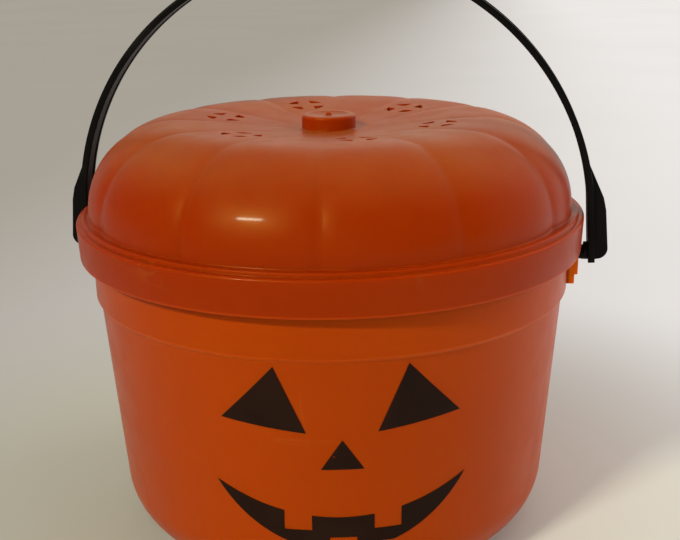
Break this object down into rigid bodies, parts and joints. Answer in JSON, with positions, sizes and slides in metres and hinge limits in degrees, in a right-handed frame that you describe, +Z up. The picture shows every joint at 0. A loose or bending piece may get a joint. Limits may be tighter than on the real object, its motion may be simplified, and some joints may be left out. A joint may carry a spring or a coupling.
{
  "type": "halloween candy pail",
  "caption": "Round plastic trick-or-treat pail with a printed pumpkin face, a push-on lobed pumpkin lid with knob and vents, and a swinging strap handle.",
  "frame": {"origin": "on the table, under the middle of the pail's base", "axes": "+Z up along the pail's axis, +X along the handle's pegs, -Y towards the front with the printed face"},
  "size_m": [0.1958, 0.178, 0.2018],
  "materials": {
    "pail_plastic": "satin moulded orange polypropylene",
    "lid_plastic": "satin moulded red-orange polypropylene",
    "handle_plastic": "satin moulded black polypropylene",
    "ink": "matt black screen-printed ink"
  },
  "bodies": {
    "pail": {"pail": "pail_plastic", "printed_left_eye": "ink", "printed_right_eye": "ink", "printed_nose": "ink", "printed_mouth": "ink"},
    "lid": {"lid": "lid_plastic"},
    "handle": {"handle": "handle_plastic"}
  },
  "joints": [
    {"name": "lid_lift", "type": "slide", "parent": "pail", "child": "lid", "axis": [0, 0, 1], "range_m": [0, 0.0085]},
    {"name": "handle_swing", "type": "hinge", "parent": "pail", "child": "handle", "pos_m": [0, 0, 0.0992], "axis": [1, 0, 0], "range_deg": [-120, 120]}
  ]
}
